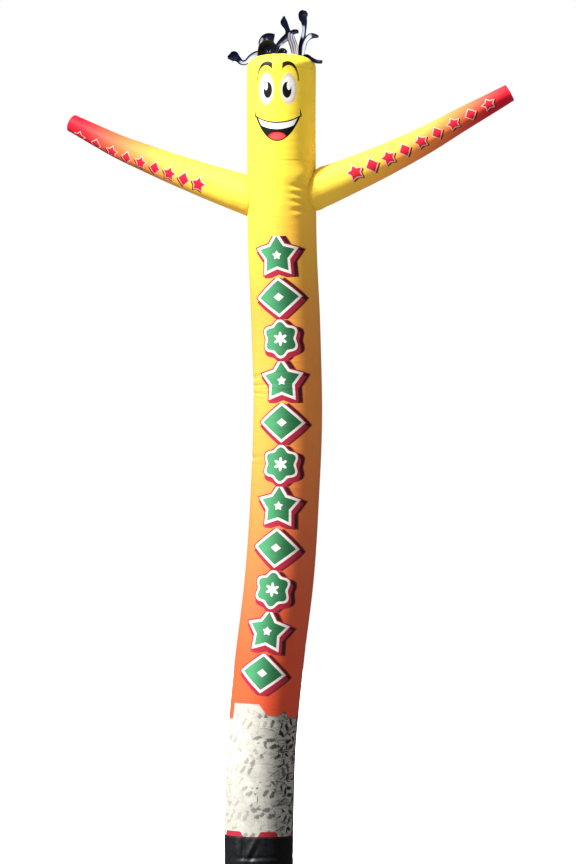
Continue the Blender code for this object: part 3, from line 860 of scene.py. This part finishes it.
def sleeve_points(side, place, turn, lift):
    """Points round a sleeve at these places along it, 0 to 1, and turns, 0 at the front."""
    centre, along = on_curve(sleeve_line(side), place)
    along = along / np.linalg.norm(along, axis=1)[:, None]
    up = np.array([0, 0, 1]) - along * along[:, 2:]
    up = up / np.linalg.norm(up, axis=1)[:, None]
    front = side * np.cross(along, up)
    first, last = SLEEVES[side][1].out, SLEEVES[side][-1].out
    share = np.clip((side * (centre[:, 0] - SHOULDER_X) - first) / (last - first), 0, None)
    radius = SLEEVE_ROOT_RADIUS + (SLEEVE_TIP_RADIUS - SLEEVE_ROOT_RADIUS) * share
    angle = 2 * np.pi * turn
    round_it = np.cos(angle)[:, None] * front - side * np.sin(angle)[:, None] * up
    return centre + (radius + lift)[:, None] * round_it, radius


def sleeve_root(side, turn):
    """The place along the sleeve where each turn of it meets the outside of the tube."""
    low, high = np.full_like(turn, 0.0), np.full_like(turn, 0.5)
    for _ in range(30):
        middle = (low + high) / 2
        points, _ = sleeve_points(side, middle, turn, 0)
        away = np.hypot(points[:, 0] - centre_line(points[:, 2])[0], points[:, 1])
        round_tube = np.arctan2(points[:, 0] - SHOULDER_X, -points[:, 1]) / (2 * np.pi)
        skin = TUBE_RADIUS + crease_lift(TUBE_CREASES, points[:, 2], round_tube)
        inside = away < skin - 0.002
        low, high = np.where(inside, middle, low), np.where(inside, high, middle)
    return high


# The colours of the fade, and how far out along each sleeve each comes. It comes sooner on the underside,
# partly as painted shade.
FADE = (
    (0.930, 0.600, 0.060, 1),
    (0.920, 0.420, 0.055, 1),
    (0.850, 0.260, 0.050, 1),
    (0.750, 0.170, 0.045, 1),
    (0.660, 0.090, 0.042, 1),
    (0.600, 0.036, 0.032, 1),
    (0.540, 0.009, 0.024, 1),
)
FADE_PLACES = {
    1: (0.20, 0.57, 0.78, 0.95, 1.09, 1.21, 1.31),
    -1: (0.30, 0.55, 0.74, 0.90, 1.05, 1.15, 1.25),
}
# How much sooner the fade comes on the underside: partly the print, partly painted shade.
FADE_LEAN = {1: 1.6, -1: 0.6}
SMALL_RED = (0.560, 0.014, 0.035, 1)
SMALL_EDGE = (0.860, 0.400, 0.300, 1)
SMALL_STAR_TIP, SMALL_DIAMOND_WIDE, SMALL_DIAMOND_TALL = 0.050, 0.042, 0.049
# Each row of motifs starts this far along its sleeve, lies this far below the front of it, and turns down
# by this share of the way past ROW_TURNS.
Row = namedtuple("Row", "start pitch drop turn_down")
ROWS = {1: Row(0.21, 0.120, 0.000, 0.000), -1: Row(0.255, 0.117, 0.032, 0.050)}
ROW_TURNS = 0.75
ROW_COUNT = 9


def small_motifs(colour, along, up, row):
    """A row of red stars and diamonds with a pale edge and a dark shade. They get smaller toward the tip."""
    cell = (along - row.start) / row.pitch
    number = cell.math("FLOOR", cell)
    smaller = (along - 0.3) * 0.36 + 1
    x = (cell - number - 0.5) * row.pitch * smaller
    y = (up + row.drop + (along - ROW_TURNS).most(0) * row.turn_down) * smaller
    is_star = (number % 2).rise(0.6, 0.4)
    in_row = cell.rise(0, 0.001) * cell.rise(ROW_COUNT + 0.001, ROW_COUNT)

    def shape(x, y):
        stars = star(x, y, SMALL_STAR_TIP) * is_star
        return stars + diamond(x, y, SMALL_DIAMOND_WIDE, SMALL_DIAMOND_TALL) * (1 - is_star)

    face, shade = shape(x, y), shape(x - 0.009, y + 0.010)
    colour = colour.under(MAROON, shade.rise(0.0080, 0.0065) * in_row * 0.9)
    colour = colour.under(SMALL_EDGE, face.rise(0.0080, 0.0065) * in_row)
    return colour.under(SMALL_RED, face.rise(0.001, -0.001) * in_row)


for side, name, node in ((1, "right_sleeve_cloth", "arm_right"), (-1, "left_sleeve_cloth", "arm_left")):
    rows = np.linspace(0, 1, SLEEVE_ROWS + 1) ** 1.25
    sleeve, turn, share = cut_cloth(name, SLEEVE_COLUMNS, rows)
    root = sleeve_root(side, turn)
    place = root + (1 - root) * share
    line = sleeve_line(side)
    length = np.linalg.norm(np.diff(line, axis=0), axis=1).sum()
    radius = sleeve_points(side, place, turn, 0)[1]
    from_root, from_tip = (place - root) * length, (1 - place) * length
    round_it = turn * 2 * np.pi * radius
    lay_pattern(sleeve, place * length - PRINT_START, -side * round_it)
    lift = seam_pucker(from_root, round_it, ROOT_PULL, ROOT_STITCH)
    lift += seam_pucker(from_tip - SLEEVE_HEM, round_it)
    lift += ROOT_SWELL[side] * np.exp(-(((from_root - 0.045) / 0.035) ** 2))
    lift += 0.0008 * np.sin(11.3 * place * length + 6 * np.pi * turn) * np.sin(4.1 * place * length)
    points, _ = sleeve_points(side, place, turn, lift)
    sew_round(sleeve, points)
    cut_length = (1 - root.min()) * length + SLEEVE_HEM
    flat = (2 * math.pi * SLEEVE_ROOT_RADIUS, cut_length)
    hang(sleeve, node)
    stops = [(place / 2, colour) for place, colour in zip(FADE_PLACES[side], FADE)]

    def sleeve_print(along, up, stops=stops, lean=FADE_LEAN[side], row=ROWS[side]):
        radius = (along - 0.05) * -SLEEVE_TAPER + SLEEVE_ROOT_RADIUS
        angle = up / radius
        above = radius * angle.math("SINE", angle)
        # The fade comes sooner on the underside, partly as painted shade.
        colour = along.node("ValToRGB", (), {0: (along - above * lean) / 2}, stops=stops)
        return small_motifs(colour, along, up, row)

    sleeve.data.materials.append(ripstop(name + " print", sleeve_print, 0.10))

# The tuft is nine strips of shiny metallised film, navy on one side and pale on the other, sewn to the crown.
# They are thin, they curl and twist as the air shakes them, and some widen toward their cut ends.
STRIP_COLUMNS, STRIP_ROWS = 8, 72
STRIP_THICK = 0.0006
STRIP_CLEAR = 0.0028
# A strip's centre line, measured from the middle of the crown's top, its width, and the turn of its face in
# degrees from the line of sight.
Bend = namedtuple("Bend", "across back rise width turn")
STRIPS = {
    "hair_1": (
        Bend(-0.092, -0.016, -0.010, 0.042, 30),
        Bend(-0.145, -0.030, 0.002, 0.044, 84),
        Bend(-0.192, -0.046, -0.018, 0.046, 114),
        Bend(-0.230, -0.056, -0.055, 0.042, 116),
        Bend(-0.262, -0.058, -0.058, 0.038, 112),
        Bend(-0.288, -0.058, -0.034, 0.044, 106),
        Bend(-0.314, -0.058, -0.018, 0.074, 100),
        Bend(-0.336, -0.058, -0.020, 0.048, 98),
        Bend(-0.357, -0.058, -0.024, 0.016, 96),
    ),
    "hair_2": (
        Bend(-0.062, 0.048, -0.010, 0.044, 30),
        Bend(-0.116, 0.050, 0.034, 0.046, 50),
        Bend(-0.136, 0.050, 0.074, 0.054, 66),
        Bend(-0.124, 0.048, 0.104, 0.056, 72),
        Bend(-0.096, 0.046, 0.118, 0.058, 76),
        Bend(-0.054, 0.046, 0.112, 0.058, 80),
    ),
    "hair_3": (
        Bend(-0.036, -0.084, -0.011, 0.046, 30),
        Bend(-0.048, -0.086, 0.036, 0.068, 72),
        Bend(-0.082, -0.090, 0.048, 0.086, 82),
        Bend(-0.112, -0.092, 0.034, 0.070, 74),
        Bend(-0.128, -0.092, -0.022, 0.056, 55),
    ),
    "hair_4": (
        Bend(-0.022, 0.000, -0.008, 0.044, 30),
        Bend(-0.026, 0.000, 0.048, 0.040, 60),
        Bend(0.006, 0.000, 0.088, 0.044, 76),
        Bend(0.046, 0.000, 0.124, 0.054, 78),
        Bend(0.042, -0.002, 0.165, 0.036, 70),
        Bend(0.020, -0.004, 0.212, 0.052, 70),
        Bend(0.018, -0.004, 0.236, 0.032, 76),
        Bend(0.020, -0.004, 0.256, 0.010, 80),
    ),
    "hair_5": (
        Bend(0.036, -0.105, -0.013, 0.036, 20),
        Bend(0.040, -0.105, 0.008, 0.036, 60),
        Bend(0.014, -0.105, 0.014, 0.040, 75),
        Bend(-0.010, -0.105, -0.012, 0.030, 50),
    ),
    "hair_6": (
        Bend(0.104, -0.088, -0.018, 0.050, 50),
        Bend(0.094, -0.088, 0.050, 0.056, 76),
        Bend(0.078, -0.088, 0.098, 0.054, 78),
        Bend(0.078, -0.086, 0.128, 0.044, 72),
        Bend(0.098, -0.082, 0.142, 0.038, 66),
        Bend(0.126, -0.078, 0.144, 0.026, 60),
    ),
    "hair_7": (
        Bend(0.121, 0.052, -0.017, 0.046, 35),
        Bend(0.128, 0.052, 0.052, 0.048, 55),
        Bend(0.142, 0.050, 0.110, 0.044, 60),
        Bend(0.150, 0.048, 0.165, 0.036, 60),
        Bend(0.150, 0.046, 0.215, 0.044, 70),
        Bend(0.141, 0.046, 0.250, 0.060, 80),
        Bend(0.144, 0.046, 0.277, 0.064, 84),
        Bend(0.149, 0.046, 0.297, 0.030, 86),
    ),
    "hair_8": (
        Bend(0.146, 0.000, -0.020, 0.044, 35),
        Bend(0.154, 0.000, 0.050, 0.044, 50),
        Bend(0.172, -0.002, 0.094, 0.044, 55),
        Bend(0.202, -0.004, 0.118, 0.048, 60),
        Bend(0.252, -0.006, 0.116, 0.016, 70),
    ),
    "hair_9": (
        Bend(0.140, -0.048, -0.022, 0.042, 15),
        Bend(0.176, -0.048, -0.018, 0.044, 30),
        Bend(0.206, -0.050, -0.038, 0.042, 35),
        Bend(0.240, -0.054, -0.056, 0.040, 45),
        Bend(0.283, -0.056, -0.060, 0.026, 65),
    ),
}
STRIPE_PITCH = 0.0165


def film(name, dark, bright, stripe=0):
    """Thin metallised film, crinkled a little. Its gleam attribute says where it shows its brighter colour,
    in part its pale side and in part a painted sheen with painted streaks; the brighter colour may be striped
    lengthways."""
    material, pattern, _, beside = new_cloth(name)
    gleam = pattern.node("Attribute", {"attribute_name": "gleam"}, (), out="Fac")
    streaks = pattern.node("Mapping", (), {0: pattern, "Scale": (9, 120, 1)}).noise(1, 2)
    crinkle = pattern.noise(38, 2)
    # The shine is in part the pale side and in part painted sheen, broken by painted streaks.
    shine = (gleam + (streaks - 0.5) * 0.5).rise(0.35, 0.75)
    shine = shine * (1 - abs((beside / STRIPE_PITCH) % 1 - 0.5).rise(0.34, 0.20) * stripe)
    relief = crinkle * 0.002 + streaks * 0.0004
    return dress(material, shine.between(dark, bright), streaks * 0.2 + 0.32, relief, 0.7, 0.12)


NAVY = (0.0014, 0.0026, 0.0130, 1)
PALE, BRIGHT = (0.150, 0.160, 0.230, 1), (0.270, 0.290, 0.390, 1)
PINKISH = (0.300, 0.270, 0.330, 1)
navy = film("navy film", NAVY, BRIGHT)
striped = film("striped film", NAVY, PINKISH, 0.80)
pale = film("pale film", PALE, BRIGHT)
# Where each strip shows its brighter colour, in part its pale side where it folds over and in part a painted
# sheen: start and stop are shares of its length, and middle and half are shares of its width.
Gleam = namedtuple("Gleam", "start stop middle half")
GLEAMS = {
    "hair_1": Gleam(0.06, 0.56, -0.04, 0.27),
    "hair_2": Gleam(0.26, 0.60, 0.26, 0.14),
    "hair_3": Gleam(0.20, 0.32, 0.40, 0.15),
    "hair_4": Gleam(0.20, 0.26, -0.30, 0.10),
    "hair_5": Gleam(0.40, 0.50, 0.00, 0.10),
    "hair_6": Gleam(-0.10, 0.62, 0.00, 0.60),
    "hair_7": Gleam(0.29, 0.51, 0.25, 0.25),
    "hair_8": Gleam(-0.10, 0.76, 0.05, 0.34),
    "hair_9": Gleam(0.02, 0.14, 0.00, 0.25),
}
crown_base = np.array([SHOULDER_X, 0, CROWN_SEAM + SEAM_GAP + CROWN_SKIRT])


def off_crown(points):
    """The points, moved straight out from the dome's middle to just above the dome where they lie lower."""
    arm = points - crown_base
    reach = np.hypot(arm[:, 0], arm[:, 1]) / (TUBE_RADIUS + STRIP_CLEAR)
    rise = np.clip(arm[:, 2], 0, None) / (CROWN_RISE + STRIP_CLEAR)
    size = (reach**CROWN_SQUARENESS + rise**CROWN_SQUARENESS) ** (1 / CROWN_SQUARENESS)
    return crown_base + arm / np.minimum(size, 1)[:, None]


for number, (node, bends) in enumerate(STRIPS.items()):
    strip, across, place = cut_cloth(node + "_film", STRIP_COLUMNS, np.linspace(0, 1, STRIP_ROWS + 1))
    table = np.array(bends)
    path = table[:, :3] + crown_base + (0, 0, CROWN_RISE)
    centre, along = on_curve(path, place)
    form, _ = on_curve(table[:, 3:], place)
    along = along / np.linalg.norm(along, axis=1)[:, None]
    flat = np.array([0, 1, 0]) - along * along[:, 1:2]
    flat = flat / np.linalg.norm(flat, axis=1)[:, None]
    angle = np.radians(form[:, 1])[:, None]
    edge = flat * np.cos(angle) + np.cross(along, flat) * np.sin(angle)
    out = np.cross(along, edge)
    width = form[:, 0]
    length = np.linalg.norm(np.diff(path, axis=0), axis=1).sum()
    curl = 0.16 * width * (4 * across**2 - 0.5)
    crumple = 0.0010 * np.sin(60 * place * length + 4 * across + number)
    crumple *= np.sin(27 * place * length + 1.3 * number)
    points = centre + (across * width)[:, None] * edge + (curl + crumple)[:, None] * out
    lay_pattern(strip, place * length, across * width)
    gleam = GLEAMS[node]
    share_in = np.minimum((place - gleam.start) / 0.06, (gleam.stop - place) / 0.06)
    width_in = (gleam.half - np.abs(across - gleam.middle)) / 0.10
    shine = strip.data.attributes.new("gleam", "FLOAT", "POINT")
    shine.data.foreach_set("value", np.clip(np.minimum(share_in, width_in) * 0.5 + 0.5, 0, 1))
    strip.data.materials.append(pale)
    strip.data.materials.append(striped if node == "hair_6" else navy)
    strip.data.vertices.foreach_set("co", off_crown(points).ravel())
    strip.data.update()
    give_wall(strip, STRIP_THICK, 0, 1)
    hang(strip, node)

# The studio has a white floor and backdrop, one large light high on the left of the camera, a low one from
# behind, and soft fill from all round.
FLOOR_SIZE = 60
bpy.ops.object.select_all(action="DESELECT")
bpy.ops.mesh.primitive_plane_add(size=FLOOR_SIZE)
floor = bpy.context.object
floor.name = "studio_floor"
floor.visible_diffuse = floor.visible_glossy = False
paper = bpy.data.materials.new("floor paper")
paper.use_nodes = True
shader = paper.node_tree.nodes["Principled BSDF"]
shader.inputs["Base Color"].default_value = (0.86, 0.86, 0.86, 1)
shader.inputs["Roughness"].default_value = 0.9
shader.inputs["Emission Color"].default_value = (1, 1, 1, 1)
shader.inputs["Emission Strength"].default_value = 0.45
floor.data.materials.append(paper)

FILL = 0.56
GLOSS_FILL = 0.08
KEY = 10.6
KEY_BEARING, KEY_HEIGHT = -53, 44
BACK = 3.0
BACK_BEARING, BACK_HEIGHT = 187, 14
LIGHT_SPREAD = 9
world = bpy.data.worlds.new("studio")
bpy.context.scene.world = world
world.use_nodes = True
background = world.node_tree.nodes["Background"]
seen = Wire(world.node_tree, world.node_tree.nodes.new("ShaderNodeLightPath").outputs["Is Camera Ray"])
glossy = Wire(world.node_tree, seen.socket.node.outputs["Is Glossy Ray"])
strength = seen * (1 - FILL) + FILL - glossy * (FILL - GLOSS_FILL)
world.node_tree.links.new(strength.socket, background.inputs["Strength"])
background.inputs["Color"].default_value = (1, 1, 1, 1)
for name, strength, bearing, elevation in (
    ("key", KEY, KEY_BEARING, KEY_HEIGHT),
    ("back", BACK, BACK_BEARING, BACK_HEIGHT),
):
    light = bpy.data.lights.new(name, "SUN")
    light.energy = strength
    light.angle = math.radians(LIGHT_SPREAD)
    lamp = bpy.data.objects.new(name, light)
    bpy.context.scene.collection.objects.link(lamp)
    lamp.rotation_euler = (math.radians(90 - elevation), 0, math.radians(bearing))
    lamp.visible_glossy = name == "key"

# The camera stands 34 m off, level with the middle of the figure and a little to its right.
CAMERA_FAR = 34.0
CAMERA_TURN = 7
CAMERA_HEIGHT = 3.007
AIM = 0.195
FRAME_TALL = 5.806
turn = math.radians(CAMERA_TURN)
camera_data = bpy.data.cameras.new("camera")
camera = bpy.data.objects.new("camera", camera_data)
bpy.context.scene.collection.objects.link(camera)
camera.location = (
    AIM * math.cos(turn) + CAMERA_FAR * math.sin(turn),
    AIM * math.sin(turn) - CAMERA_FAR * math.cos(turn),
    CAMERA_HEIGHT,
)
camera.rotation_euler = (math.pi / 2, 0, turn)
camera_data.sensor_fit = "VERTICAL"
camera_data.sensor_height = 24
camera_data.lens = camera_data.sensor_height * CAMERA_FAR / FRAME_TALL
camera_data.clip_end = 200
bpy.context.scene.camera = camera
bpy.context.scene.view_settings.view_transform = "Standard"
